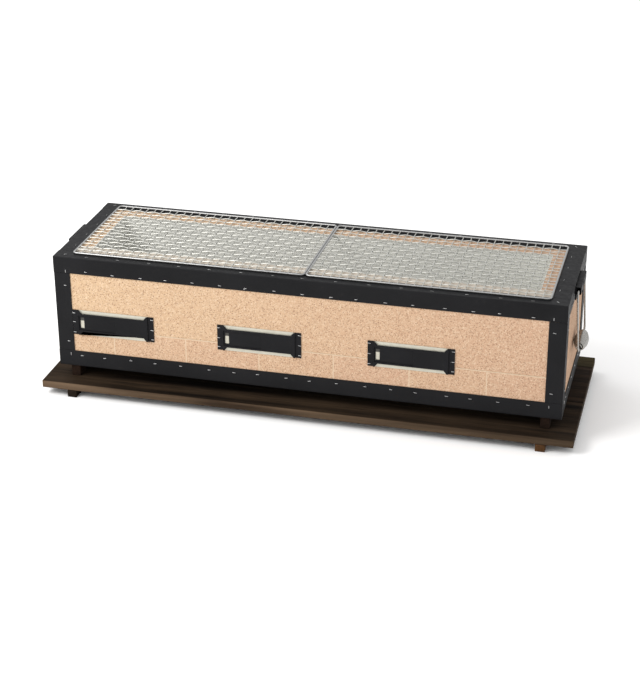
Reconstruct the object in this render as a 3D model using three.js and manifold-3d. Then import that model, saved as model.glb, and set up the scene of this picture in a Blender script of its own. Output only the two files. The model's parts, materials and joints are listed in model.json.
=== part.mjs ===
// A long charcoal hibachi: insulating brick walls held by twelve steel angles, a sheet liner, sliding air
// shutters on both long faces, two lift-off wire nets, a hanging wire handle at each end, and a wooden
// base board that the whole grill stands on.
// Millimetres, +X along the grill, +Y to the back, +Z up. The origin is the centre of the footprint.

import * as THREE from 'three';
import { mergeVertices } from 'three/addons/utils/BufferGeometryUtils.js';
import Module from 'manifold-3d';

const wasm = await Module();
wasm.setup();

// ---- Driving dimensions ----

const GAP = 0.3; // between two pieces that touch

const box = { length: 900, width: 274, height: 209 };
const angleIron = { leg: 30, sheet: 1.2, bendRadius: 1.8 };
const wall = { longThickness: 55.7, endThickness: 51.7, courseJoint: 76 };
const floorBrick = { top: 60 };
const bottomPlate = { sheet: 1 };
const liner = { sheet: 0.8 };

const board = { length: 950, width: 332, thickness: 14, rearPlank: 43 };
const batten = { width: 17, height: 13.5, outerEnd: 428, endInset: 0.5 };
const skid = { width: 16, height: 21, centre: 422, endInset: 4 };

const vent = {
  starts: [-419.7, -152.5, 115], // left end of each vent, seen from outside
  centreHeight: 86.5,
  length: 150.6,
  height: 47.4,
  tab: 10.6,
  sheet: 1.2,
  bridgeHeight: 34,
  chamferLeft: [12.4, 18],
  chamferRight: [132, 137.5],
  windowEnd: 80,
  windowHeight: 27.6,
};
const ventPlate = { sheet: 0.8 };
const shutter = { length: 70, height: 30.8, sheet: 1, slotStart: 2.2, slotWidth: 7, slotHeight: 20.6 };
const duct = { start: 23, end: 67, low: -8, high: 12 }; // from the vent's left end and centre height

const net = {
  length: 420,
  width: 240,
  seam: 0.6,
  rod: 4,
  corner: 7,
  wire: 2,
  wirePlane: 2.4,
  columnPitch: 72, // every fifth cross wire of the woven mesh
  columns: 6,
  rowPitch: 57.6, // every fourth long wire
  rows: 3,
};

const grate = {
  length: 776,
  width: 144,
  sheet: 1.5,
  clearHeight: 43.4,
  flangeWidth: 120,
  legWidth: 30,
  legPlaces: [-270, -90, 90, 270],
  slotLength: 54,
  slotWidth: 12,
  slotPitch: 48,
  slotRows: [-33, 33],
};

const bracket = { width: 75.2, height: 24, topDrop: 7, sheet: 1.6, hoodHeight: 13.6, hoodOut: 10, window: 20 };
const bail = {
  wire: 3.8,
  clearance: 0.5,
  pivotOut: 5.6,
  pivotDrop: 13,
  halfWidth: 52,
  drop: 108,
  bend: 8,
  endGap: 1.5,
};
const grip = { length: 64, middleRadius: 12.8, endRadius: 7.4, centreOut: 12 };

// ---- Levels, worked out from the bottom up ----

const boardBottom = batten.height + GAP;
const boardTop = boardBottom + board.thickness;
const skidBottom = boardTop + GAP;
const boxBottom = skidBottom + skid.height + GAP;

const faceInset = angleIron.sheet + GAP; // brick face behind the outer face of the angles
const plateBottom = angleIron.sheet + GAP;
const brickBottom = plateBottom + bottomPlate.sheet + GAP;
const brickTop = box.height - angleIron.sheet - GAP;
const innerLength = box.length - 2 * (faceInset + wall.endThickness);
const innerWidth = box.width - 2 * (faceInset + wall.longThickness);
const linerLength = innerLength - 2 * GAP;
const linerWidth = innerWidth - 2 * GAP;
const linerBottom = floorBrick.top + GAP;
const linerFloor = linerBottom + liner.sheet;

// ---- Materials ----

function material(color, roughness, metalness) {
  return () => new THREE.MeshStandardMaterial({ color, roughness, metalness });
}

const darkWood = material(0x3c3026, 0.7, 0);
const redWood = material(0x6b4636, 0.75, 0);
const blackSteel = material(0x2b2b2e, 0.45, 0.3);
const tanBrick = material(0xeac79f, 0.95, 0);
const zincSheet = material(0xd9d8cf, 0.4, 0.8);
const brightWire = material(0xdcdcd6, 0.3, 0.9);
const castIron = material(0x4a4744, 0.7, 0.6);

// ---- Geometry helpers ----

function block(x, y, z) {
  const geometry = new THREE.BoxGeometry(x[1] - x[0], y[1] - y[0], z[1] - z[0]);
  return geometry.translate((x[0] + x[1]) / 2, (y[0] + y[1]) / 2, (z[0] + z[1]) / 2);
}

function toSolid(geometry) {
  const bare = geometry.clone();
  bare.deleteAttribute('normal');
  bare.deleteAttribute('uv');
  const merged = mergeVertices(bare, 1e-4);
  const vertProperties = new Float32Array(merged.attributes.position.array);
  const triVerts = new Uint32Array(merged.index.array);
  return new wasm.Manifold(new wasm.Mesh({ numProp: 3, vertProperties, triVerts }));
}

function toGeometry(solid) {
  const mesh = solid.getMesh();
  const geometry = new THREE.BufferGeometry();
  geometry.setAttribute('position', new THREE.BufferAttribute(mesh.vertProperties, 3));
  geometry.setIndex(new THREE.BufferAttribute(mesh.triVerts, 1));
  geometry.computeVertexNormals();
  return geometry;
}

function join(...geometries) {
  return toGeometry(geometries.map(toSolid).reduce((whole, piece) => whole.add(piece)));
}

function cut(geometry, ...tools) {
  return toGeometry(tools.map(toSolid).reduce((whole, tool) => whole.subtract(tool), toSolid(geometry)));
}

function extrude(shape, depth) {
  return new THREE.ExtrudeGeometry(shape, { depth, bevelEnabled: false, curveSegments: 4 });
}

function outline(points) {
  return new THREE.Shape(points.map(([x, y]) => new THREE.Vector2(x, y)));
}

function roundedRectangle(path, halfLength, halfWidth, radius) {
  path.moveTo(-halfLength + radius, -halfWidth);
  path.lineTo(halfLength - radius, -halfWidth);
  path.absarc(halfLength - radius, -halfWidth + radius, radius, -Math.PI / 2, 0);
  path.lineTo(halfLength, halfWidth - radius);
  path.absarc(halfLength - radius, halfWidth - radius, radius, 0, Math.PI / 2);
  path.lineTo(-halfLength + radius, halfWidth);
  path.absarc(-halfLength + radius, halfWidth - radius, radius, Math.PI / 2, Math.PI);
  path.lineTo(-halfLength, -halfWidth + radius);
  path.absarc(-halfLength + radius, -halfWidth + radius, radius, Math.PI, Math.PI * 1.5);
  return path;
}

function piece(name, geometry, makeMaterial) {
  const mesh = new THREE.Mesh(geometry, makeMaterial());
  mesh.name = name;
  return mesh;
}

// ---- Base board: three planks on two battens ----

function buildBoard() {
  const group = new THREE.Group();
  const halfLength = board.length / 2;
  const halfWidth = board.width / 2;
  const rearSeam = halfWidth - board.rearPlank;
  const middleSeam = (rearSeam - halfWidth) / 2;
  const planks = {
    base_plank_front: [-halfWidth, middleSeam - GAP / 2],
    base_plank_middle: [middleSeam + GAP / 2, rearSeam - GAP / 2],
    base_plank_rear: [rearSeam + GAP / 2, halfWidth],
  };
  for (const [name, span] of Object.entries(planks)) {
    group.add(piece(name, block([-halfLength, halfLength], span, [boardBottom, boardTop]), darkWood));
  }
  const battenSpan = [-halfWidth + batten.endInset, halfWidth - batten.endInset];
  const battenAlong = [batten.outerEnd - batten.width, batten.outerEnd];
  for (const [side, name] of [[-1, 'base_batten_left'], [1, 'base_batten_right']]) {
    const along = side > 0 ? battenAlong : [-battenAlong[1], -battenAlong[0]];
    group.add(piece(name, block(along, battenSpan, [0, batten.height]), darkWood));
  }
  return group;
}

// ---- Skids that carry the grill on the board ----

function buildSkids() {
  const group = new THREE.Group();
  const reach = box.width / 2 - skid.endInset;
  for (const [side, name] of [[-1, 'skid_left'], [1, 'skid_right']]) {
    const centre = side * skid.centre;
    const along = [centre - skid.width / 2, centre + skid.width / 2];
    group.add(piece(name, block(along, [-reach, reach], [skidBottom, skidBottom + skid.height]), redWood));
  }
  return group;
}

// ---- Steel angles ----

// An angle of the given length along +Z, its bent corner on the Z axis and its legs along +X and +Y.
function angleBar(length) {
  const { leg, sheet, bendRadius } = angleIron;
  const shape = new THREE.Shape();
  shape.moveTo(leg, 0);
  shape.lineTo(leg, sheet);
  shape.lineTo(sheet, sheet);
  shape.lineTo(sheet, leg);
  shape.lineTo(0, leg);
  shape.lineTo(0, bendRadius);
  shape.absarc(bendRadius, bendRadius, bendRadius, Math.PI, Math.PI * 1.5);
  return extrude(shape, length);
}

// Rail along X, centred, with one leg on the outer face and one leg turned in over the top.
function topRail(length) {
  const turn = new THREE.Matrix4().makeBasis(
    new THREE.Vector3(0, 0, -1),
    new THREE.Vector3(0, 1, 0),
    new THREE.Vector3(1, 0, 0),
  );
  return angleBar(length).applyMatrix4(turn).translate(-length / 2, 0, 0);
}

// Rail along X, centred, with one leg on the outer face and one leg turned in under the bottom.
function bottomRail(length) {
  const turn = new THREE.Matrix4().makeBasis(
    new THREE.Vector3(0, 1, 0),
    new THREE.Vector3(0, 0, 1),
    new THREE.Vector3(1, 0, 0),
  );
  return angleBar(length).applyMatrix4(turn).translate(-length / 2, 0, 0);
}

// Cuts a rail's turned-in leg back at both ends, over the given span of its height.
function trimEnds(bar, length, notch, height) {
  const tools = [-1, 1].map((end) => {
    const along = [end * (length / 2 + 1), end * (length / 2 - notch)].sort((a, b) => a - b);
    return block(along, [-1, angleIron.leg + 1], height);
  });
  return cut(bar, ...tools);
}

// An end rail's turned-in leg stops short of the long rails, while its outer leg runs to the box's corners.
function addRails(side, name, depth, length, turnedInLength) {
  const { sheet } = angleIron;
  const notch = (length - turnedInLength) / 2;
  const addRail = (label, bar, level, notchHeight) => {
    const shape = notch > 0 ? trimEnds(bar, length, notch, notchHeight) : bar;
    const rail = piece(label, shape, blackSteel);
    rail.position.set(0, -depth, level);
    side.add(rail);
  };
  addRail(`rail_top_${name}`, topRail(length), box.height, [-sheet - GAP, 1]);
  addRail(`rail_bottom_${name}`, bottomRail(length), 0, [-1, sheet + GAP]);
}

function buildPosts() {
  const group = new THREE.Group();
  const length = box.height - 2 * (angleIron.leg + GAP);
  const corners = [
    ['post_front_left', -1, -1],
    ['post_front_right', 1, -1],
    ['post_back_right', 1, 1],
    ['post_back_left', -1, 1],
  ];
  corners.forEach(([name, x, y], turn) => {
    const post = piece(name, angleBar(length), blackSteel);
    post.position.set((x * box.length) / 2, (y * box.width) / 2, angleIron.leg + GAP);
    post.rotation.z = (turn * Math.PI) / 2;
    group.add(post);
  });
  return group;
}

// ---- Brick walls, floor, bottom plate and liner ----

function ductHole(start, depth) {
  const along = [start + duct.start, start + duct.end];
  const height = [vent.centreHeight + duct.low, vent.centreHeight + duct.high];
  return block(along, [-depth, 0], height);
}

function addBricks(side, name, depth, length, thickness, ventStarts) {
  const along = [-length / 2, length / 2];
  const across = [-depth + faceInset, -depth + faceInset + thickness];
  const lower = block(along, across, [brickBottom, wall.courseJoint - GAP / 2]);
  const upper = block(along, across, [wall.courseJoint + GAP / 2, brickTop]);
  const ducts = ventStarts.map((start) => ductHole(start, depth));
  side.add(piece(`brick_lower_${name}`, lower, tanBrick));
  side.add(piece(`brick_upper_${name}`, ducts.length ? cut(upper, ...ducts) : upper, tanBrick));
}

function buildFloor() {
  const group = new THREE.Group();
  const halfLength = box.length / 2 - faceInset;
  const halfWidth = box.width / 2 - faceInset;
  const plate = block(
    [-halfLength, halfLength],
    [-halfWidth, halfWidth],
    [plateBottom, plateBottom + bottomPlate.sheet],
  );
  group.add(piece('bottom_plate', plate, zincSheet));
  const across = [-innerWidth / 2 + GAP, innerWidth / 2 - GAP];
  const height = [brickBottom, floorBrick.top];
  const outer = innerLength / 2 - GAP;
  group.add(piece('floor_brick_left', block([-outer, -GAP / 2], across, height), tanBrick));
  group.add(piece('floor_brick_right', block([GAP / 2, outer], across, height), tanBrick));
  return group;
}

function buildLiner() {
  const halfLength = linerLength / 2;
  const halfWidth = linerWidth / 2;
  const shell = block([-halfLength, halfLength], [-halfWidth, halfWidth], [linerBottom, brickTop]);
  const inner = halfLength - liner.sheet;
  const across = halfWidth - liner.sheet;
  const hollow = block([-inner, inner], [-across, across], [linerFloor, box.height]);
  const front = vent.starts.map((start) => ductHole(start, box.width / 2));
  const back = vent.starts.map((start) => ductHole(start, box.width / 2).rotateZ(Math.PI));
  return piece('firebox_liner', cut(shell, hollow, ...front, ...back), zincSheet);
}

// ---- Air vents: a zinc plate on the brick, a black bridge over it and a sliding shutter between ----
// Each is built from its left end, outward is -Y, and the brick face is y = 0.

const plateFront = GAP + ventPlate.sheet;
const shutterFront = plateFront + GAP + shutter.sheet;
const bridgeBack = shutterFront + GAP;
const bridgeFront = bridgeBack + vent.sheet;
const bridgeInner = [vent.tab + vent.sheet, vent.length - vent.tab - vent.sheet];
const shutterStart = bridgeInner[0] + GAP;

function ventPlateShape() {
  const half = vent.height / 2;
  const plate = block(
    [bridgeInner[0] + GAP, bridgeInner[1] - GAP],
    [-plateFront, -GAP],
    [-half, half],
  );
  return cut(plate, block([duct.start, duct.end], [-vent.height, vent.height], [duct.low, duct.high]));
}

function ventBridgeShape() {
  const half = vent.height / 2;
  const bridgeHalf = vent.bridgeHeight / 2;
  const upper = [
    [vent.length - vent.tab, half],
    [vent.chamferRight[1], half],
    [vent.chamferRight[0], bridgeHalf],
    [vent.chamferLeft[1], bridgeHalf],
    [vent.chamferLeft[0], half],
    [vent.tab, half],
  ];
  const lower = upper.map(([x, z]) => [x, -z]).reverse();
  const face = extrude(outline([...upper, ...lower]), vent.sheet)
    .rotateX(Math.PI / 2)
    .translate(0, -bridgeBack, 0);
  const tabDepth = [-GAP - vent.sheet, -GAP];
  const riseDepth = [-bridgeFront, -GAP];
  const lipDepth = [-bridgeFront, -plateFront - GAP];
  const full = [-half, half];
  return cut(
    join(
      face,
      block([0, bridgeInner[0]], tabDepth, full),
      block([bridgeInner[1], vent.length], tabDepth, full),
      block([vent.tab, bridgeInner[0]], riseDepth, full),
      block([bridgeInner[1], vent.length - vent.tab], riseDepth, full),
      block(bridgeInner, lipDepth, [bridgeHalf - vent.sheet, bridgeHalf]),
      block(bridgeInner, lipDepth, [-bridgeHalf, -bridgeHalf + vent.sheet]),
    ),
    block(
      [bridgeInner[0], vent.windowEnd],
      [-bridgeFront - 1, -bridgeBack + 0.1],
      [-vent.windowHeight / 2, vent.windowHeight / 2],
    ),
  );
}

function shutterShape() {
  const start = shutterStart;
  const depth = [-shutterFront, -shutterFront + shutter.sheet];
  const plate = block([start, start + shutter.length], depth, [-shutter.height / 2, shutter.height / 2]);
  const slotStart = start + shutter.slotStart;
  const slot = block(
    [slotStart, slotStart + shutter.slotWidth],
    [-bridgeFront, 0],
    [-shutter.slotHeight / 2, shutter.slotHeight / 2],
  );
  return cut(plate, slot);
}

function addVents(side, name, depth) {
  vent.starts.forEach((start, index) => {
    const group = new THREE.Group();
    group.position.set(start, -depth + faceInset, vent.centreHeight);
    const label = `${name}_${index + 1}`;
    group.add(piece(`vent_plate_${label}`, ventPlateShape(), zincSheet));
    group.add(piece(`vent_cover_${label}`, ventBridgeShape(), blackSteel));
    group.add(piece(`vent_shutter_${label}`, shutterShape(), blackSteel));
    side.add(group);
  });
}

// ---- End handles: a bracket whose hood holds the wire bail, and a barrel grip ----

// A wire's centre line that puts a station only where the wire bends, so that straight runs stay long.
class WirePath extends THREE.Curve {
  constructor(stations) {
    super();
    this.stations = stations;
  }

  getPointAt(u) {
    return this.stations[Math.round(u * (this.stations.length - 1))].point.clone();
  }

  getPoint(t) {
    return this.getPointAt(t);
  }

  getTangentAt(u) {
    return this.stations[Math.round(u * (this.stations.length - 1))].tangent.clone();
  }
}

// Stations of a loop in the XZ plane that runs from one end gap, round four bends, to the other.
function bailStations() {
  const { halfWidth, drop, bend, endGap } = bail;
  const bendSteps = 4;
  const stations = [{ point: new THREE.Vector3(endGap, 0, -drop), tangent: new THREE.Vector3(1, 0, 0) }];
  const corners = [
    [halfWidth - bend, -drop + bend, -Math.PI / 2],
    [halfWidth - bend, -bend, 0],
    [-halfWidth + bend, -bend, Math.PI / 2],
    [-halfWidth + bend, -drop + bend, Math.PI],
  ];
  for (const [x, z, start] of corners) {
    for (let step = 0; step <= bendSteps; step += 1) {
      const angle = start + (step / bendSteps) * (Math.PI / 2);
      stations.push({
        point: new THREE.Vector3(x + bend * Math.cos(angle), 0, z + bend * Math.sin(angle)),
        tangent: new THREE.Vector3(-Math.sin(angle), 0, Math.cos(angle)),
      });
    }
  }
  stations.push({ point: new THREE.Vector3(-endGap, 0, -drop), tangent: new THREE.Vector3(1, 0, 0) });
  return stations;
}

function bailShape() {
  const stations = bailStations();
  const section = new THREE.Shape().absarc(0, 0, bail.wire / 2, 0, Math.PI * 2);
  return new THREE.ExtrudeGeometry(section, {
    steps: stations.length - 1,
    curveSegments: 4,
    extrudePath: new WirePath(stations),
  });
}

function gripShape() {
  const half = grip.length / 2;
  const bore = bail.wire / 2 + bail.clearance;
  const rings = 8;
  const profile = [new THREE.Vector2(bore, -half)];
  for (let ring = 0; ring <= rings; ring += 1) {
    const along = -half + (ring / rings) * grip.length;
    const bulge = Math.cos((along / half) * (Math.PI / 2));
    profile.push(new THREE.Vector2(grip.endRadius + (grip.middleRadius - grip.endRadius) * bulge, along));
  }
  profile.push(new THREE.Vector2(bore, half), new THREE.Vector2(bore, -half));
  return new THREE.LatheGeometry(profile, 16).rotateZ(-Math.PI / 2).translate(0, 0, -bail.drop);
}

// A back plate with a square hood along it, open at both ends and windowed in the middle of its front.
function bracketShape(depth) {
  const { sheet, window } = bracket;
  const top = box.height - bracket.topDrop;
  const hoodBottom = top - bracket.hoodHeight;
  const along = [-bracket.width / 2, bracket.width / 2];
  const back = -depth - GAP;
  const front = -depth - bracket.hoodOut;
  const windowHeight = [hoodBottom + 2 * sheet, top - 2 * sheet];
  const whole = join(
    block(along, [back - sheet, back], [top - bracket.height, top]),
    block(along, [front, back], [top - sheet, top]),
    block(along, [front, front + sheet], [hoodBottom, top]),
    block(along, [front, back], [hoodBottom, hoodBottom + sheet]),
  );
  return cut(whole, block([-window / 2, window / 2], [front - sheet, front + 2 * sheet], windowHeight));
}

function addHandle(side, name, depth) {
  side.add(piece(`handle_bracket_${name}`, bracketShape(depth), blackSteel));
  const hanging = new THREE.Group();
  hanging.position.set(0, -depth - bail.pivotOut, box.height - bail.pivotDrop);
  hanging.rotation.x = -Math.asin((grip.centreOut - bail.pivotOut) / bail.drop);
  hanging.add(piece(`handle_bail_${name}`, bailShape(), brightWire));
  hanging.add(piece(`handle_grip_${name}`, gripShape(), brightWire));
  side.add(hanging);
}

// ---- Charcoal grate: a slotted plate on folded legs ----

function buildGrate() {
  const { length, width, sheet, clearHeight, flangeWidth, legWidth, legPlaces } = grate;
  const bottom = linerFloor + GAP;
  const top = bottom + clearHeight + sheet;
  const plate = block([-length / 2, length / 2], [-width / 2, width / 2], [top - sheet, top]);
  const flange = [-flangeWidth / 2, flangeWidth / 2];
  const flanges = [
    block([-length / 2, -length / 2 + sheet], flange, [bottom, top]),
    block([length / 2 - sheet, length / 2], flange, [bottom, top]),
  ];
  const legs = legPlaces.flatMap((place) => [
    block([place - legWidth / 2, place + legWidth / 2], [-width / 2, -width / 2 + sheet], [bottom, top]),
    block([place - legWidth / 2, place + legWidth / 2], [width / 2 - sheet, width / 2], [bottom, top]),
  ]);
  const count = Math.floor((length - 2 * grate.slotWidth) / grate.slotPitch);
  const slots = [];
  for (let index = 0; index < count; index += 1) {
    const x = (index - (count - 1) / 2) * grate.slotPitch;
    for (const y of grate.slotRows) {
      const along = [x - grate.slotWidth / 2, x + grate.slotWidth / 2];
      const across = [y - grate.slotLength / 2, y + grate.slotLength / 2];
      slots.push(block(along, across, [top - 2 * sheet, top + sheet]));
    }
  }
  return piece('charcoal_grate', cut(join(plate, ...flanges, ...legs), ...slots), castIron);
}

// ---- Grilling nets: a rod frame and a wire mesh ----

function netShape() {
  const halfLength = net.length / 2;
  const halfWidth = net.width / 2;
  const ring = roundedRectangle(new THREE.Shape(), halfLength, halfWidth, net.corner);
  ring.holes.push(
    roundedRectangle(new THREE.Path(), halfLength - net.rod, halfWidth - net.rod, net.corner - net.rod),
  );
  const frame = new THREE.ExtrudeGeometry(ring, { depth: net.rod, bevelEnabled: false, curveSegments: 2 });
  const height = [net.wirePlane - net.wire / 2, net.wirePlane + net.wire / 2];
  const reachX = halfLength - net.rod / 2;
  const reachY = halfWidth - net.rod / 2;
  const bars = [];
  for (let column = 0; column < net.columns; column += 1) {
    const x = (column - (net.columns - 1) / 2) * net.columnPitch;
    bars.push(block([x - net.wire / 2, x + net.wire / 2], [-reachY, reachY], height));
  }
  for (let row = 0; row < net.rows; row += 1) {
    const y = (row - (net.rows - 1) / 2) * net.rowPitch;
    bars.push(block([-reachX, reachX], [y - net.wire / 2, y + net.wire / 2], height));
  }
  return join(frame, ...bars);
}

function buildNets() {
  const group = new THREE.Group();
  const offset = (net.length + net.seam) / 2;
  for (const [side, name] of [[-1, 'grill_net_left'], [1, 'grill_net_right']]) {
    const mesh = piece(name, netShape(), brightWire);
    mesh.position.set(side * offset, 0, box.height + GAP);
    group.add(mesh);
  }
  return group;
}

// ---- Assembly ----

// Each side is built facing -Y and then turned to face its own way.
function buildSides() {
  const halfLength = box.length / 2;
  const halfWidth = box.width / 2;
  const endRail = box.width - 2 * (angleIron.sheet + GAP);
  const endTurnedIn = box.width - 2 * (angleIron.leg + GAP);
  const endWall = innerWidth - 2 * GAP;
  const longWall = box.length - 2 * faceInset;
  const sides = [
    { name: 'front', turn: 0, depth: halfWidth, rail: box.length, turnedIn: box.length, bricks: longWall },
    { name: 'right', turn: 1, depth: halfLength, rail: endRail, turnedIn: endTurnedIn, bricks: endWall },
    { name: 'back', turn: 2, depth: halfWidth, rail: box.length, turnedIn: box.length, bricks: longWall },
    { name: 'left', turn: 3, depth: halfLength, rail: endRail, turnedIn: endTurnedIn, bricks: endWall },
  ];
  return sides.map(({ name, turn, depth, rail, turnedIn, bricks }) => {
    const side = new THREE.Group();
    const isLong = turn % 2 === 0;
    addRails(side, name, depth, rail, turnedIn);
    const thickness = isLong ? wall.longThickness : wall.endThickness;
    addBricks(side, name, depth, bricks, thickness, isLong ? vent.starts : []);
    if (isLong) {
      addVents(side, name, depth);
    } else {
      addHandle(side, name, depth);
    }
    side.rotation.z = (turn * Math.PI) / 2;
    return side;
  });
}

const grill = new THREE.Group();
grill.position.z = boxBottom;
grill.add(...buildSides(), buildPosts(), buildFloor(), buildLiner(), buildGrate(), buildNets());

const group = new THREE.Group();
group.add(buildBoard(), buildSkids(), grill);

export default group;
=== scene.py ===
import json
import math
import random

import bmesh
import bpy
import numpy as np
from mathutils import Matrix, Vector


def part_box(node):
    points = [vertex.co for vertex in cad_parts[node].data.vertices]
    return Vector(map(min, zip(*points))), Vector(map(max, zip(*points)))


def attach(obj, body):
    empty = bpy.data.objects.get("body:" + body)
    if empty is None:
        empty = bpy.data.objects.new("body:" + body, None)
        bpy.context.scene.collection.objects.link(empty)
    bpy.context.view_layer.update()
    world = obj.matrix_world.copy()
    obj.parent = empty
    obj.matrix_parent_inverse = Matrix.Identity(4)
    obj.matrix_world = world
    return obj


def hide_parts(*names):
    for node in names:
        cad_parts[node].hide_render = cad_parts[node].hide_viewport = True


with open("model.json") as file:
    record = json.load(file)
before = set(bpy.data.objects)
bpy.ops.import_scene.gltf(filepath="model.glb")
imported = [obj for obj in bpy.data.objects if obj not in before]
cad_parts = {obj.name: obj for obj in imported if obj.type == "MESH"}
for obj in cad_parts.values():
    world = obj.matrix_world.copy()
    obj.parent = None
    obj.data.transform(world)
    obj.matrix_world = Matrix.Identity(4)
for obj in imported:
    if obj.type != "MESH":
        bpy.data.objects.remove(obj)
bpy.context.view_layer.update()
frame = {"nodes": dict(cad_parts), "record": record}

MM = 0.001
RECORD = frame["record"]
BODY_OF = {node: body for body, nodes in RECORD["behaviour"]["bodies"].items() for node in nodes}
SLOT_OF = {row["node"]: row["material_slot"] for row in RECORD["subparts"]}
JOINTS = {joint["name"]: joint for joint in RECORD["behaviour"]["joints"]}

# ---- Camera, in metres, degrees and millimetres of lens ----

CAMERA_PLACE = Vector((0.7004, -2.7361, 1.4097))
CAMERA_TURN = (14.43, 25.29, -0.20)  # azimuth, elevation and roll
CAMERA_LENS = 90.5

# ---- Driving sizes of the finish, in millimetres ----

STAPLE = {"crown": 4.9, "wire": 0.48, "thick": 0.4, "proud": 0.42, "buried": 1.0}
RAIL_ROWS = {"drop": 25.2, "rise": 21.6, "pitch": 48, "end": 60, "low_start": 42, "corner": 22.5}
POST_STAPLES = {"from_end": 20, "below_top": 51, "above_bottom": 46}
TOP_ROWS = {"pitch": 54, "edge": 7.5, "end_edge": 21, "corner_end": 19, "corner_edge": 13}
VENT_STAPLES = {"proud": 1.2, "inset": 2.6, "spread": 18.4}
VENT_PAINTED_SHADOW = (139.3, 150.5)  # lowest and highest height of the painted shadow that blackens the vent plates
PAINTED_SHADOW_FADE = 1.2
BRICK = {"length": 133, "joint": 1.7, "recess": 0.16, "bevel": 0.4, "first": 104, "out": 0.06}
MORTAR = {"end_gap": 0.2, "top_gap": 0.05, "bevel": 0.1}
NET = {"pitch": 14.4, "columns": 28, "rows": 15, "wire": 0.85, "weave": 0.9, "rod": 1.75, "corner": 6}
COIL = {"wire": 1.35, "turns": 21, "end": 5.9, "middle": 11.4, "steps": 14, "closing_turns": 1.2}
BAIL = {"wire": 1.9, "half_width": 52, "bend": 8}
RIVET = {"across": 26, "above": 5, "face": 1.6}
FLOOR_REACH = 14  # metres


# ---- Camera, light and floor ----


def add_camera():
    azimuth, elevation, roll = (math.radians(angle) for angle in CAMERA_TURN)
    back = Vector(
        (
            math.sin(azimuth) * math.cos(elevation),
            -math.cos(azimuth) * math.cos(elevation),
            math.sin(elevation),
        )
    )
    level = Vector((math.cos(azimuth), math.sin(azimuth), 0))
    upright = back.cross(level)
    right = level * math.cos(roll) + upright * math.sin(roll)
    up = upright * math.cos(roll) - level * math.sin(roll)
    camera = bpy.data.objects.new("camera", bpy.data.cameras.new("camera"))
    camera.data.lens = CAMERA_LENS
    camera.data.sensor_width = 36
    camera.data.clip_end = 50
    turn = Matrix((right, up, back)).transposed().to_4x4()
    camera.matrix_world = Matrix.Translation(CAMERA_PLACE) @ turn
    bpy.context.scene.collection.objects.link(camera)
    bpy.context.scene.camera = camera


def add_light(name, place, target, size, energy, colour):
    light = bpy.data.lights.new(name, "AREA")
    light.shape = "RECTANGLE"
    light.size, light.size_y = size
    light.energy = energy
    light.color = colour
    lamp = bpy.data.objects.new(name, light)
    lamp.location = place
    lamp.rotation_euler = (Vector(target) - Vector(place)).to_track_quat("-Z", "Y").to_euler()
    bpy.context.scene.collection.objects.link(lamp)


def add_studio():
    world = bpy.data.worlds.new("studio")
    world.use_nodes = True
    background = world.node_tree.nodes["Background"]
    background.inputs["Color"].default_value = (1.0, 1.0, 1.0, 1)
    background.inputs["Strength"].default_value = 1.0
    bpy.context.scene.world = world
    bpy.context.scene.view_settings.view_transform = "Standard"
    add_light("key", (-1.5, -1.5, 2.0), (0, 0, 0.15), (1.2, 1.2), 50, (1.0, 0.99, 0.97))
    add_light("left_rim", (-1.9, 0.9, 2.6), (0, 0, 0.15), (1.6, 1.2), 15, (1.0, 1.0, 1.0))


# ---- Meshes ----


class Shape:
    """Closed bodies gathered into one mesh, in metres; each body may have its own material index and tone."""

    def __init__(self):
        self.vertices = []
        self.faces = []
        self.materials = []
        self.tones = []

    def add(self, body, material=0, tone=0.5):
        vertices, faces = body
        start = len(self.vertices)
        self.vertices.extend(tuple(vertex) for vertex in vertices)
        self.faces.extend(tuple(start + index for index in face) for face in faces)
        self.materials.extend([material] * len(faces))
        self.tones.extend([tone] * len(vertices))

    def finish(self, name, materials, smooth_angle=40):
        mesh = bpy.data.meshes.new(name)
        mesh.from_pydata(self.vertices, [], self.faces)
        mesh.polygons.foreach_set("material_index", self.materials)
        tone = mesh.attributes.new("tone", "FLOAT", "POINT")
        tone.data.foreach_set("value", self.tones)
        for material in materials:
            mesh.materials.append(material)
        mesh.shade_smooth()
        mesh.set_sharp_from_angle(angle=math.radians(smooth_angle))
        piece = bpy.data.objects.new(name, mesh)
        bpy.context.scene.collection.objects.link(piece)
        return piece


def place_piece(piece, body, slot, *replaced):
    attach(piece, body)
    if replaced:
        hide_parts(*replaced)


def flat_faces_lead(piece):
    """Lets large flat faces set the normals, so that a rounded edge doesn't shade the face beside it."""
    weighted = piece.modifiers.new("flat_faces_lead", "WEIGHTED_NORMAL")
    weighted.keep_sharp = True
    weighted.weight = 90


def sweep(points, side, half_width, half_thickness, sides=8, closed=False):
    """A wire of elliptical section along points; side is the direction that its width lies along."""
    points = np.asarray(points, float)
    side = np.broadcast_to(np.asarray(side, float), points.shape)
    ahead = np.roll(points, -1, 0) - np.roll(points, 1, 0)
    if not closed:
        ahead[0] = points[1] - points[0]
        ahead[-1] = points[-1] - points[-2]
    normal = np.cross(ahead, side)
    normal /= np.linalg.norm(normal, axis=1)[:, None]
    angles = np.arange(sides) * 2 * math.pi / sides
    across = half_width * np.cos(angles)[None, :, None] * side[:, None, :]
    through = half_thickness * np.sin(angles)[None, :, None] * normal[:, None, :]
    vertices = (points[:, None, :] + across + through).reshape(-1, 3)
    count = len(points)
    faces = []
    for ring in range(count if closed else count - 1):
        this, after = ring * sides, (ring + 1) % count * sides
        for step in range(sides):
            turn = (step + 1) % sides
            faces.append((this + step, this + turn, after + turn, after + step))
    if not closed:
        faces.append(tuple(reversed(range(sides))))
        faces.append(tuple(range((count - 1) * sides, count * sides)))
    return vertices, faces


def body_of_bmesh(mesh):
    mesh.verts.index_update()
    vertices = [tuple(vertex.co) for vertex in mesh.verts]
    faces = [tuple(vertex.index for vertex in face.verts) for face in mesh.faces]
    mesh.free()
    return vertices, faces


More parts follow.
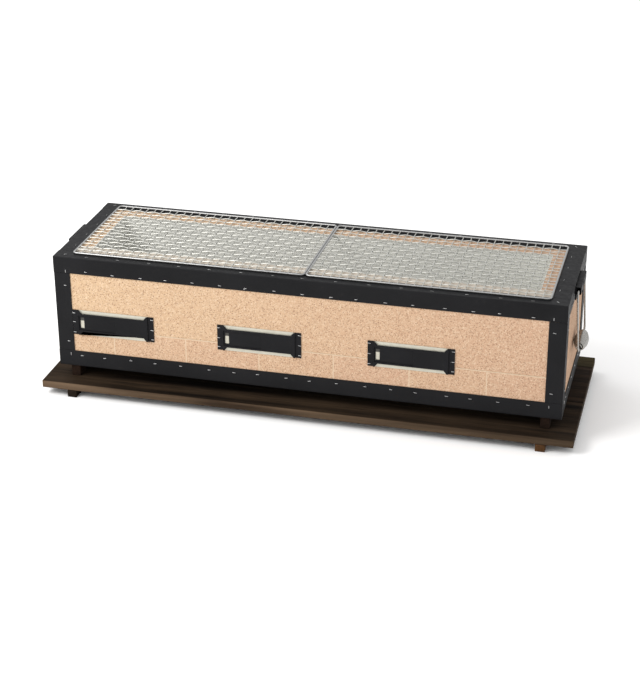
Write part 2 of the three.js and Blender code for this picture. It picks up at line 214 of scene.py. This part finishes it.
def round_edges(mesh, radius, segments):
    sharp = [edge for edge in mesh.edges if len(edge.link_faces) == 2 and edge.calc_face_angle() > 0.5]
    bmesh.ops.bevel(
        mesh, geom=sharp, offset=radius, segments=segments, profile=0.5, affect="EDGES", clamp_overlap=True
    )


def rounded_block(low, high, radius, segments=2):
    mesh = bmesh.new()
    bmesh.ops.create_cube(mesh, size=1)
    low, high = Vector(low), Vector(high)
    for vertex in mesh.verts:
        vertex.co = Vector(low[i] + (vertex.co[i] + 0.5) * (high[i] - low[i]) for i in range(3))
    round_edges(mesh, radius, segments)
    return body_of_bmesh(mesh)


def turned(body, turn):
    """The body turned about Z by that many quarter turns."""
    matrix = np.array(Matrix.Rotation(turn * math.pi / 2, 3, "Z"))
    vertices, faces = body
    return np.asarray(vertices) @ matrix.T, faces


def finished(node, material, radius, segments=2):
    """Stands for a CAD node: the same shape with its flat faces merged and its sharp edges rounded."""
    mesh = bmesh.new()
    mesh.from_mesh(frame["nodes"][node].data)
    bmesh.ops.remove_doubles(mesh, verts=mesh.verts, dist=1e-6)
    bmesh.ops.dissolve_limit(mesh, angle_limit=0.02, verts=mesh.verts, edges=mesh.edges)
    round_edges(mesh, radius * MM, segments)
    shape = Shape()
    shape.add(body_of_bmesh(mesh))
    piece = shape.finish(f"{node}_finished", [material])
    flat_faces_lead(piece)
    place_piece(piece, BODY_OF[node], SLOT_OF[node], node)
    return piece


# ---- Materials ----


class Finish:
    """One material: a Principled shader and the procedural nodes that feed it, in object coordinates."""

    def __init__(self, name, metallic=0.0, specular=0.5):
        self.material = bpy.data.materials.new(name)
        self.material.use_nodes = True
        self.tree = self.material.node_tree
        self.shader = self.tree.nodes["Principled BSDF"]
        self.shader.inputs["Metallic"].default_value = metallic
        self.shader.inputs["Specular IOR Level"].default_value = specular
        self.place = self.tree.nodes.new("ShaderNodeTexCoord").outputs["Object"]

    def node(self, kind, inputs, **settings):
        made = self.tree.nodes.new(kind)
        for name, value in settings.items():
            setattr(made, name, value)
        for name, value in inputs.items():
            socket = made.inputs[name]
            if isinstance(value, bpy.types.NodeSocket):
                self.tree.links.new(value, socket)
            else:
                socket.default_value = value
        return made

    def stretched(self, scale, offset=(0, 0, 0)):
        return self.node(
            "ShaderNodeMapping", {"Vector": self.place, "Scale": scale, "Location": offset}
        ).outputs[0]

    def noise(self, scale, detail=2.0, place=None, roughness=0.5, distortion=0.0):
        inputs = {
            "Vector": place or self.place,
            "Scale": scale,
            "Detail": detail,
            "Roughness": roughness,
            "Distortion": distortion,
        }
        return self.node("ShaderNodeTexNoise", inputs).outputs[0]

    def cells(self, scale, place=None):
        """A Voronoi texture's distance and its random colour per cell."""
        made = self.node("ShaderNodeTexVoronoi", {"Vector": place or self.place, "Scale": scale})
        return made.outputs["Distance"], made.outputs["Color"]

    def remap(self, value, source, target):
        """value taken from the source span to the target span, and held there outside it."""
        inputs = {
            "Value": value,
            "From Min": source[0],
            "From Max": source[1],
            "To Min": target[0],
            "To Max": target[1],
        }
        return self.node("ShaderNodeMapRange", inputs).outputs[0]

    def maths(self, operation, first, second):
        made = self.node("ShaderNodeMath", {0: first, 1: second}, operation=operation)
        return made.outputs[0]

    def ramp(self, value, stops):
        made = self.node("ShaderNodeValToRGB", {"Fac": value})
        elements = made.color_ramp.elements
        while len(elements) < len(stops):
            elements.new(0.5)
        for element, (position, colour) in zip(elements, stops):
            element.position = position
            element.color = (*colour, 1)
        return made.outputs[0]

    def mix(self, factor, first, second):
        made = self.tree.nodes.new("ShaderNodeMix")
        made.data_type = "RGBA"
        for index, value in ((0, factor), (6, first), (7, second)):
            socket = made.inputs[index]
            if isinstance(value, bpy.types.NodeSocket):
                self.tree.links.new(value, socket)
            else:
                socket.default_value = value if index == 0 else (*value, 1)
        return made.outputs[2]

    def attribute(self, name):
        return self.node("ShaderNodeAttribute", {}, attribute_name=name).outputs["Fac"]

    def upright(self):
        """1 on upright faces and 0 on level ones."""
        normal = self.node("ShaderNodeNewGeometry", {}).outputs["Normal"]
        level = self.node("ShaderNodeSeparateXYZ", {"Vector": normal}).outputs["Z"]
        return self.remap(self.maths("ABSOLUTE", level, 0.0), (0.3, 0.8), (1.0, 0.0))

    def colour(self, socket):
        self.tree.links.new(socket, self.shader.inputs["Base Color"])

    def roughness(self, value, low, high):
        spread = self.remap(value, (0.3, 0.7), (low, high))
        self.tree.links.new(spread, self.shader.inputs["Roughness"])

    def bump(self, height, strength, depth):
        inputs = {"Height": height, "Strength": strength, "Distance": depth}
        made = self.node("ShaderNodeBump", inputs)
        self.tree.links.new(made.outputs[0], self.shader.inputs["Normal"])


def black_paint(name, tone, gloss):
    finish = Finish(name, specular=0.1)
    clouds = finish.noise(11, 5)
    mottle = finish.noise(160, 3)
    dust = finish.remap(finish.noise(46, 8, roughness=0.7), (0.6, 0.78), (0.0, 0.3))
    dark = tuple(channel * 0.82 for channel in tone)
    light = tuple(channel * 1.2 for channel in tone)
    base = finish.ramp(clouds, [(0.32, dark), (0.68, light)])
    finish.colour(finish.mix(dust, base, (0.026, 0.0255, 0.025)))
    finish.roughness(mottle, gloss, gloss + 0.16)
    orange_peel = finish.noise(900, 2)
    finish.bump(orange_peel, 0.16, 0.0004)
    return finish.material


def diatomite(name, dust):
    """Sawn diatomite, darker and pinker toward +X as painted shade for light that falls off toward +X, its
    tone attribute adding each brick's own share of the pink.
    dust is how far pale dust covers its level faces."""
    finish = Finish(name, specular=0.15)
    along = finish.node("ShaderNodeSeparateXYZ", {"Vector": finish.place}).outputs["X"]
    # The per-brick tone is the brick's own colour; the added share along X is painted shade, darkening the
    # brick toward +X.
    warmth_and_painted_shade = finish.maths("ADD", finish.attribute("tone"), finish.remap(along, (-0.45, 0.45), (-0.45, 0.45)))
    soft = finish.noise(7, 4)
    mottle = finish.noise(110, 5, roughness=0.65)
    grain = finish.noise(520, 3, roughness=0.7)
    pale = finish.mix(soft, (0.575, 0.415, 0.255), (0.555, 0.38, 0.23))
    base = finish.mix(warmth_and_painted_shade, pale, (0.495, 0.305, 0.205))
    base = finish.mix(finish.remap(mottle, (0.35, 0.7), (0.0, 0.5)), base, (0.45, 0.29, 0.185))
    base = finish.mix(finish.remap(grain, (0.48, 0.66), (0.0, 0.6)), base, (0.74, 0.60, 0.44))
    near, kind = finish.cells(340)
    chosen = finish.remap(kind, (0.48, 0.56), (0.0, 1.0))
    fleck = finish.maths("MULTIPLY", finish.remap(near, (0.18, 0.42), (1.0, 0.0)), chosen)
    base = finish.mix(finish.maths("MULTIPLY", fleck, 0.85), base, (0.26, 0.145, 0.085))
    near_small, kind_small = finish.cells(760)
    chosen_small = finish.remap(kind_small, (0.6, 0.66), (0.0, 1.0))
    pit = finish.maths("MULTIPLY", finish.remap(near_small, (0.15, 0.4), (1.0, 0.0)), chosen_small)
    base = finish.mix(finish.maths("MULTIPLY", pit, 0.8), base, (0.22, 0.13, 0.08))
    covered = finish.maths("MULTIPLY", finish.maths("SUBTRACT", 1.0, finish.upright()), dust)
    finish.colour(finish.mix(covered, base, (0.50, 0.475, 0.42)))
    finish.roughness(mottle, 0.86, 0.97)
    hollows = finish.maths("ADD", finish.maths("MULTIPLY", fleck, -0.7), finish.maths("MULTIPLY", pit, -0.5))
    finish.bump(finish.maths("ADD", hollows, grain), 0.4, 0.0005)
    return finish.material


def mortar():
    finish = Finish("mortar", specular=0.2)
    grain = finish.noise(600, 4, roughness=0.7)
    finish.colour(finish.ramp(grain, [(0.3, (0.52, 0.395, 0.27)), (0.7, (0.64, 0.50, 0.36))]))
    finish.roughness(grain, 0.88, 0.98)
    finish.bump(grain, 0.5, 0.0005)
    return finish.material


def galvanised(name, light, metallic, rough, painted_shadow_levels=None):
    """Galvanised sheet; the shadow levels are the heights in millimetres between which a painted shadow
    blackens it, standing in for the shade under the slots' top edges.
    """
    finish = Finish(name, metallic=metallic)
    _, spangle = finish.cells(130)
    brushed = finish.noise(60, 4, finish.stretched((1, 1, 9)))
    dull = tuple(channel * 0.84 for channel in light)
    base = finish.mix(finish.remap(spangle, (0.2, 0.8), (0.0, 0.45)), light, dull)
    stain = finish.remap(finish.noise(16, 6, roughness=0.65), (0.52, 0.72), (0.0, 0.3))
    base = finish.mix(stain, base, tuple(channel * 0.72 for channel in light))
    # Painted shadow: a dark band across the plate, seen through the shutter slots, stands in for the shade
    # under the slots' top edges.
    if painted_shadow_levels:
        height = finish.node("ShaderNodeSeparateXYZ", {"Vector": finish.place}).outputs["Z"]
        lowest, highest = painted_shadow_levels
        above = finish.remap(height, (lowest * MM, (lowest + PAINTED_SHADOW_FADE) * MM), (0.0, 0.92))
        below = finish.remap(height, ((highest - PAINTED_SHADOW_FADE) * MM, highest * MM), (1.0, 0.0))
        base = finish.mix(finish.maths("MULTIPLY", above, below), base, (0.012, 0.012, 0.013))
    finish.colour(base)
    finish.roughness(brushed, rough, rough + 0.18)
    finish.bump(brushed, 0.12, 0.0003)
    return finish.material


def bright_wire(name, light, rough):
    """Drawn plated wire; a tone attribute below a half dulls it toward a tarnished grey."""
    finish = Finish(name, metallic=1.0)
    drawn = finish.noise(420, 3)
    dull = tuple(channel * 0.8 for channel in light)
    base = finish.ramp(drawn, [(0.35, dull), (0.65, light)])
    tarnish = finish.remap(finish.attribute("tone"), (0.0, 0.5), (0.9, 0.0))
    finish.colour(finish.mix(tarnish, base, (0.05, 0.05, 0.05)))
    finish.roughness(drawn, rough, rough + 0.2)
    finish.bump(drawn, 0.15, 0.0002)
    return finish.material


def sheet_iron():
    finish = Finish("heat_marked_iron", metallic=0.85)
    bloom = finish.noise(12, 5)
    scale = finish.noise(240, 4, roughness=0.7)
    stops = [(0.3, (0.10, 0.095, 0.09)), (0.55, (0.17, 0.15, 0.135)), (0.8, (0.2, 0.14, 0.1))]
    base = finish.ramp(bloom, stops)
    finish.colour(finish.mix(finish.remap(scale, (0.5, 0.75), (0.0, 0.4)), base, (0.07, 0.06, 0.055)))
    finish.roughness(scale, 0.5, 0.75)
    finish.bump(scale, 0.3, 0.0004)
    return finish.material


def stained_wood(name, along, seed, dark, light, edge):
    """Wood with its grain along axis 0 (X) or 1 (Y); seed picks another stretch of the same timber, and edge
    is how far its upright faces show paler sawn wood; the fading of that paler wood toward +X is painted
    shade."""
    finish = Finish(name, specular=0.06)
    long_way = [1.0, 1.0, 1.0]
    long_way[along] = 0.045
    figure = finish.stretched(long_way, (seed * 0.37, seed * 0.21, seed * 0.13))
    bands = finish.noise(42, 3, figure, distortion=0.35)
    fibres = finish.noise(330, 5, figure, roughness=0.65)
    patches = finish.noise(5, 4)
    between = tuple((a + b) / 2 for a, b in zip(dark, light))
    base = finish.ramp(bands, [(0.34, dark), (0.5, between), (0.66, light)])
    base = finish.mix(finish.remap(fibres, (0.42, 0.68), (0.0, 0.65)), base, tuple(c * 0.55 for c in dark))
    worn = finish.remap(patches, (0.45, 0.75), (0.0, 0.3))
    base = finish.mix(worn, base, tuple(channel * 1.35 for channel in light))
    sawn = finish.ramp(bands, [(0.34, (0.045, 0.028, 0.017)), (0.66, (0.20, 0.135, 0.085))])
    along_x = finish.node("ShaderNodeSeparateXYZ", {"Vector": finish.place}).outputs["X"]
    # Painted shade: the paler sawn wood is faded toward +X, where the board lies in the box's shade.
    sawn_share_with_painted_shade = finish.maths("MULTIPLY", finish.remap(along_x, (-0.3, 0.4), (edge, edge * 0.3)), finish.upright())
    finish.colour(finish.mix(sawn_share_with_painted_shade, base, sawn))
    finish.roughness(fibres, 0.66, 0.88)
    finish.bump(fibres, 0.42, 0.0006)
    return finish.material


def make_materials():
    return {
        "black_steel": black_paint("black_painted_angle", (0.0085, 0.0085, 0.0095), 0.42),
        "vent_black": black_paint("black_painted_vent", (0.0080, 0.0080, 0.0092), 0.4),
        "brick": diatomite("diatomite_brick", 0.1),
        "dusty_brick": diatomite("diatomite_brick_dusty_top", 0.8),
        "mortar": mortar(),
        "zinc_sheet": galvanised("galvanised_vent_plate", (0.53, 0.51, 0.43), 0.5, 0.4, VENT_PAINTED_SHADOW),
        "liner_sheet": galvanised("galvanised_liner", (0.80, 0.80, 0.75), 0.1, 0.5),
        "net_wire": bright_wire("bright_net_wire", (0.57, 0.565, 0.53), 0.33),
        "net_rod": bright_wire("bright_net_rod", (0.42, 0.42, 0.415), 0.28),
        "handle_wire": bright_wire("plated_handle_wire", (0.40, 0.39, 0.37), 0.16),
        "staple_wire": bright_wire("staple_wire", (0.60, 0.60, 0.60), 0.26),
        "grate_iron": sheet_iron(),
    }


# ---- Base board, battens and skids ----


def add_timber(node, along, seed, dark, light, edge, radius):
    low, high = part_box(node)
    shape = Shape()
    shape.add(rounded_block(low, high, radius * MM, 3))
    piece = shape.finish(f"{node}_timber", [stained_wood(f"{node}_wood", along, seed, dark, light, edge)], 60)
    flat_faces_lead(piece)
    place_piece(piece, BODY_OF[node], SLOT_OF[node], node)


def add_board():
    dark = (0.006, 0.004, 0.0028)
    add_timber("base_plank_front", 0, 1, dark, (0.042, 0.027, 0.016), 0.7, 1.4)
    add_timber("base_plank_middle", 0, 2, dark, (0.036, 0.021, 0.012), 0.5, 1.4)
    add_timber("base_plank_rear", 0, 3, dark, (0.060, 0.045, 0.017), 0.5, 1.4)
    add_timber("base_batten_left", 1, 5, dark, (0.02, 0.014, 0.009), 0.0, 1.0)
    add_timber("base_batten_right", 1, 6, (0.03, 0.014, 0.006), (0.085, 0.04, 0.016), 0.0, 1.0)
    # The skids' dark colours are painted shade: reddish wood darkened to match the deep shade under the box.
    for seed, node in enumerate(("skid_left", "skid_right")):
        add_timber(node, 1, seed + 8, dark, (0.022, 0.012, 0.008), 0.0, 1.0)


# ---- Brick walls ----


def brick_cuts(length):
    """Where the joints of a course fall, from one end to the other."""
    half = length / 2
    cuts = [-half]
    place = -half + BRICK["first"]
    while place < half - BRICK["joint"] * 4:
        cuts.append(place)
        place += BRICK["length"]
    return [*cuts, half]


def add_lower_course(name, turn, materials, draw):
    """A course of separate bricks with mortar between and above them, laid facing -Y and then turned."""
    node = f"brick_lower_{name}"
    low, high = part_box(node)
    spans = [(low[i] / MM, high[i] / MM) for i in range(3)]
    long_axis = turn % 2
    length = spans[long_axis][1] - spans[long_axis][0]
    depth = max(abs(value) for value in spans[1 - long_axis])
    inner = min(abs(value) for value in spans[1 - long_axis])
    bottom, top = spans[2]
    shape = Shape()
    cuts = brick_cuts(length)
    half_joint = BRICK["joint"] / 2
    for start, end in zip(cuts, cuts[1:]):
        left = start + (half_joint if start > -length / 2 else 0)
        right = end - (half_joint if end < length / 2 else 0)
        out = draw.uniform(0, BRICK["out"])
        block = rounded_block(
            Vector((left, -depth + out, bottom)) * MM,
            Vector((right, -inner, top - BRICK["joint"])) * MM,
            BRICK["bevel"] * MM,
        )
        shape.add(turned(block, turn), 0, draw.uniform(0.4, 0.95))
    gap = MORTAR["end_gap"]
    filler = rounded_block(
        Vector((-length / 2 + gap, -depth + BRICK["recess"], bottom + gap)) * MM,
        Vector((length / 2 - gap, -inner - BRICK["recess"], top - MORTAR["top_gap"])) * MM,
        MORTAR["bevel"] * MM,
        1,
    )
    shape.add(turned(filler, turn), 1)
    piece = shape.finish(f"{node}_bricks", [materials["brick"], materials["mortar"]])
    flat_faces_lead(piece)
    place_piece(piece, BODY_OF[node], "brick", node)


# ---- Staples ----


def staple(along, up, out, place, draw):
    """One staple's crown and the start of its legs; along, up and out are the face's own directions."""
    tilt = math.radians(draw.gauss(0, 4))
    direction = along * math.cos(tilt) + up * math.sin(tilt)
    across = up * math.cos(tilt) - along * math.sin(tilt)
    half = STAPLE["crown"] / 2 + draw.uniform(-0.25, 0.25)
    proud = STAPLE["proud"]
    profile = [
        (-half, -STAPLE["buried"]),
        (-half, proud - 0.35),
        (-half + 0.12, proud - 0.1),
        (-half + 0.4, proud),
        (half - 0.4, proud),
        (half - 0.12, proud - 0.1),
        (half, proud - 0.35),
        (half, -STAPLE["buried"]),
    ]
    points = [tuple((place + direction * x + out * z) * MM) for x, z in profile]
    return sweep(points, tuple(across), STAPLE["wire"] * MM, STAPLE["thick"] * MM, 8)


def rail_staples(shape, turn, half, depth, levels, draw):
    """One side's staples: on both rails' faces, on the posts, and on the top rail's top."""
    bottom, top = levels
    along, up, out = Vector((1, 0, 0)), Vector((0, 0, 1)), Vector((0, -1, 0))

    def put(place, direction, across, outward, tone=0.5):
        shape.add(turned(staple(direction, across, outward, Vector(place), draw), turn), 0, tone)

    def row(start, stop, pitch):
        count = max(2, round((stop - start) / pitch))
        return [start + (stop - start) * index / count + draw.uniform(-4, 4) for index in range(count + 1)]

    reach = half - RAIL_ROWS["end"]
    low_start = -half + RAIL_ROWS["low_start"]
    for height, start in ((top - RAIL_ROWS["drop"], -reach), (bottom + RAIL_ROWS["rise"], low_start)):
        for x in row(start, reach, RAIL_ROWS["pitch"]):
            put((x, -depth, height + draw.uniform(-0.9, 0.9)), along, up, out)
        for end in (-1, 1):
            x = end * (half - RAIL_ROWS["corner"])
            put((x, -depth, height + draw.uniform(-1.5, 1.5)), up, along, out)
    for end in (-1, 1):
        for height in (top - POST_STAPLES["below_top"], bottom + POST_STAPLES["above_bottom"]):
            x = end * (half - POST_STAPLES["from_end"])
            put((x, -depth, height + draw.uniform(-2.5, 2.5)), along, up, out)
    is_long = turn % 2 == 0
    edge = TOP_ROWS["edge"] if is_long else TOP_ROWS["end_edge"]
    for x in row(-reach, reach, TOP_ROWS["pitch"]):
        put((x, -depth + edge + draw.uniform(-0.8, 0.8), top), along, -out, up, draw.uniform(0.1, 0.3))
    if is_long:
        for end in (-1, 1):
            slant = draw.uniform(-0.8, 0.8)
            direction = along * math.cos(slant) - out * math.sin(slant)
            place = (end * (half - TOP_ROWS["corner_end"]), -depth + TOP_ROWS["corner_edge"], top)
            put(place, direction, direction.cross(up), up, 0.35)


def vent_staples(shape, node, turn, draw):
    """Three staples at the outer edge of each end tab."""
    low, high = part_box(node)
    back = turn == 2
    ends = (-high[0] / MM, -low[0] / MM) if back else (low[0] / MM, high[0] / MM)
    middle = (low[2] + high[2]) / MM / 2
    face = min(abs(low[1]), abs(high[1])) / MM + VENT_STAPLES["proud"]
    spread = VENT_STAPLES["spread"]
    for edge, inward in ((ends[0], 1), (ends[1], -1)):
        for rise in (-spread, 0, spread):
            x = edge + inward * VENT_STAPLES["inset"]
            place = Vector((x, -face, middle + rise + draw.uniform(-1, 1)))
            made = staple(Vector((1, 0, 0)), Vector((0, 0, 1)), Vector((0, -1, 0)), place, draw)
            shape.add(turned(made, turn))


def add_staples(materials):
    draw = random.Random(11)
    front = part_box("rail_top_front")
    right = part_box("rail_top_right")
    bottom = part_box("rail_bottom_front")[0][2] / MM
    top = front[1][2] / MM
    half_length = front[1][0] / MM
    half_width = -front[0][1] / MM
    sides = {"front": 0, "right": 1, "back": 2, "left": 3}
    for name, turn in sides.items():
        shape = Shape()
        is_long = turn % 2 == 0
        half, depth = (half_length, half_width) if is_long else (half_width, right[1][0] / MM)
        rail_staples(shape, turn, half, depth, (bottom, top), draw)
        if is_long:
            for index in (1, 2, 3):
                vent_staples(shape, f"vent_cover_{name}_{index}", turn, draw)
        place_piece(shape.finish(f"staples_{name}", [materials["staple_wire"]], 60), "grill", "staple_wire")


# ---- Nets ----


def rounded_loop(half_length, half_width, radius, steps=6):
    """A closed rounded rectangle in the XY plane, as points in order."""
    points = []
    corners = [(1, -1, -90), (1, 1, 0), (-1, 1, 90), (-1, -1, 180)]
    for x, y, start in corners:
        centre = (x * (half_length - radius), y * (half_width - radius))
        for step in range(steps + 1):
            angle = math.radians(start + 90 * step / steps)
            points.append((centre[0] + radius * math.cos(angle), centre[1] + radius * math.sin(angle)))
    return points


def woven_wire(reach, crossings, first_up):
    """(distance, height) along one crimped wire, in mm, from inside one frame rod to inside the other."""
    pitch, weave = NET["pitch"], NET["weave"]
    start = -(crossings - 1) / 2 * pitch
    path = [(-reach, 0.0)]
    for step in range((crossings - 1) * 4 + 1):
        height = weave * first_up * math.cos(math.pi * step / 4)
        path.append((start + step * pitch / 4, height))
    path.append((reach, 0.0))
    return path


def add_net(node, materials):
    low, high = (Vector(corner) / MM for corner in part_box(node))
    centre = (low + high) / 2
    rod_length = (high.x - low.x) / 2 - NET["rod"]
    rod_width = (high.y - low.y) / 2 - NET["rod"]
    level = low.z + NET["rod"]
    shape = Shape()
    outline = rounded_loop(rod_length, rod_width, NET["corner"])
    loop = [(centre.x + x, centre.y + y, level) for x, y in outline]
    rod = NET["rod"] * MM
    shape.add(sweep(np.array(loop) * MM, (0, 0, 1), rod, rod, 12, closed=True), 1)
    wire = NET["wire"] * MM
    columns, rows = NET["columns"], NET["rows"]
    for column in range(columns):
        x = centre.x + (column - (columns - 1) / 2) * NET["pitch"]
        path = woven_wire(rod_width, rows, 1 if column % 2 else -1)
        points = [(x, centre.y + distance, level + height) for distance, height in path]
        shape.add(sweep(np.array(points) * MM, (1, 0, 0), wire, wire, 6))
    for row in range(rows):
        y = centre.y + (row - (rows - 1) / 2) * NET["pitch"]
        path = woven_wire(rod_length, columns, -1 if row % 2 else 1)
        points = [(centre.x + distance, y, level + height) for distance, height in path]
        shape.add(sweep(np.array(points) * MM, (0, 1, 0), wire, wire, 6))
    piece = shape.finish(f"{node}_woven", [materials["net_wire"], materials["net_rod"]], 60)
    place_piece(piece, BODY_OF[node], "net_wire", node)


# ---- Handles ----


def add_handle(name, side, materials):
    """The bail as a wire loop and the grip as a wound coil, at the right (side 1) or left (-1) end."""
    pivot = Vector(JOINTS[f"handle_swing_{name}"]["pos_m"]) / MM
    low, high = (Vector(corner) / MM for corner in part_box(f"handle_grip_{name}"))
    grip = (low + high) / 2
    down = Vector((grip.x - pivot.x, 0, grip.z - pivot.z))
    drop = down.length
    down.normalize()
    outward = Vector((side, 0, 0)) - down * down.x * side
    outward.normalize()
    loop = rounded_loop(drop / 2, BAIL["half_width"], BAIL["bend"], 6)
    points = [pivot + down * (x + drop / 2) + Vector((0, y, 0)) for x, y in loop]
    bail = Shape()
    wire = BAIL["wire"] * MM
    bail.add(sweep(np.array(points) * MM, tuple(outward), wire, wire, 14, closed=True))
    piece = bail.finish(f"handle_bail_{name}_wire", [materials["handle_wire"]], 60)
    place_piece(piece, BODY_OF[f"handle_bail_{name}"], "handle_wire", f"handle_bail_{name}")

    half = (high.y - low.y) / 2
    count = COIL["turns"] * COIL["steps"]
    helix, radial = [], []
    for step in range(count + 1):
        share = step / count
        along = -half + COIL["wire"] + share * 2 * (half - COIL["wire"])
        bulge = math.cos((share - 0.5) * math.pi)
        close = min(1.0, min(share, 1 - share) * COIL["turns"] / COIL["closing_turns"])
        open_radius = COIL["end"] + (COIL["middle"] - COIL["end"]) * bulge
        tight_radius = BAIL["wire"] + COIL["wire"] + 0.2
        radius = tight_radius + (open_radius - tight_radius) * math.sin(close * math.pi / 2)
        angle = 2 * math.pi * step / COIL["steps"]
        spoke = outward * math.cos(angle) - down * math.sin(angle)
        helix.append(grip + Vector((0, along, 0)) + spoke * radius)
        radial.append(spoke)
    coil = Shape()
    wire = COIL["wire"] * MM
    coil.add(sweep(np.array(helix) * MM, np.array(radial), wire, wire, 8))
    piece = coil.finish(f"handle_grip_{name}_coil", [materials["handle_wire"]], 60)
    place_piece(piece, BODY_OF[f"handle_grip_{name}"], "handle_wire", f"handle_grip_{name}")


def lathe(profile, centre, axis, sides=20):
    """A turned body: profile is (radius, height) from the axis at the bottom to the axis at the top."""
    axis = Vector(axis).normalized()
    first = axis.orthogonal().normalized()
    second = axis.cross(first)
    vertices = []
    for radius, height in profile:
        for step in range(sides):
            angle = 2 * math.pi * step / sides
            spoke = first * math.cos(angle) + second * math.sin(angle)
            vertices.append(centre + axis * height + spoke * radius)
    faces = []
    for ring in range(len(profile) - 1):
        for step in range(sides):
            turn = (step + 1) % sides
            base, above = ring * sides, (ring + 1) * sides
            faces.append((base + step, base + turn, above + turn, above + step))
    faces.append(tuple(reversed(range(sides))))
    faces.append(tuple(range((len(profile) - 1) * sides, len(profile) * sides)))
    return [tuple(vertex * MM) for vertex in vertices], faces


def add_rivets(name, side, materials):
    """Two domed rivets that hold each handle bracket to the end rail."""
    low, high = (Vector(corner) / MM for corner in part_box(f"handle_bracket_{name}"))
    face = side * (min(abs(low.x), abs(high.x)) + RIVET["face"])
    dome = [(3.1, -0.4), (3.4, 0.2), (3.2, 0.8), (2.4, 1.4), (1.2, 1.75), (0.3, 1.8)]
    shape = Shape()
    for y in (-RIVET["across"], RIVET["across"]):
        shape.add(lathe(dome, Vector((face, y, low.z + RIVET["above"])), (side, 0, 0)))
    rivets = shape.finish(f"bracket_rivets_{name}", [materials["black_steel"]], 60)
    place_piece(rivets, "grill", "black_steel")


# ---- Everything that keeps its CAD shape ----


def add_finished_nodes(materials):
    rounding = {
        "rail_": 0.35,
        "post_": 0.35,
        "vent_cover": 0.35,
        "vent_shutter": 0.25,
        "vent_plate": 0.2,
        "handle_bracket": 0.3,
        "brick_upper": 0.6,
        "floor_brick": 0.6,
        "bottom_plate": 0.2,
        "firebox_liner": 0.2,
        "charcoal_grate": 0.3,
    }
    for node in sorted(frame["nodes"]):
        for start, radius in rounding.items():
            if node.startswith(start):
                material = "dusty_brick" if node == "brick_upper_front" else SLOT_OF[node]
                finished(node, materials[material], radius)


def add_floor():
    finish = Finish("pale_floor", specular=0.1)
    clouds = finish.noise(1.2, 3)
    finish.colour(finish.ramp(clouds, [(0.3, (0.96, 0.96, 0.96)), (0.7, (0.98, 0.98, 0.98))]))
    finish.roughness(clouds, 0.85, 0.95)
    signs = ((-1, -1), (1, -1), (1, 1), (-1, 1))
    corners = [(x * FLOOR_REACH, y * FLOOR_REACH, 0) for x, y in signs]
    mesh = bpy.data.meshes.new("floor")
    mesh.from_pydata(corners, [], [(0, 1, 2, 3)])
    mesh.materials.append(finish.material)
    floor = bpy.data.objects.new("floor", mesh)
    bpy.context.scene.collection.objects.link(floor)


def main():
    add_camera()
    add_studio()
    add_floor()
    materials = make_materials()
    add_board()
    draw = random.Random(5)
    for turn, name in enumerate(("front", "right", "back", "left")):
        add_lower_course(name, turn, materials, draw)
    add_finished_nodes(materials)
    add_staples(materials)
    for side, name in ((-1, "left"), (1, "right")):
        add_net(f"grill_net_{name}", materials)
        add_handle(name, side, materials)
        add_rivets(name, side, materials)


main()
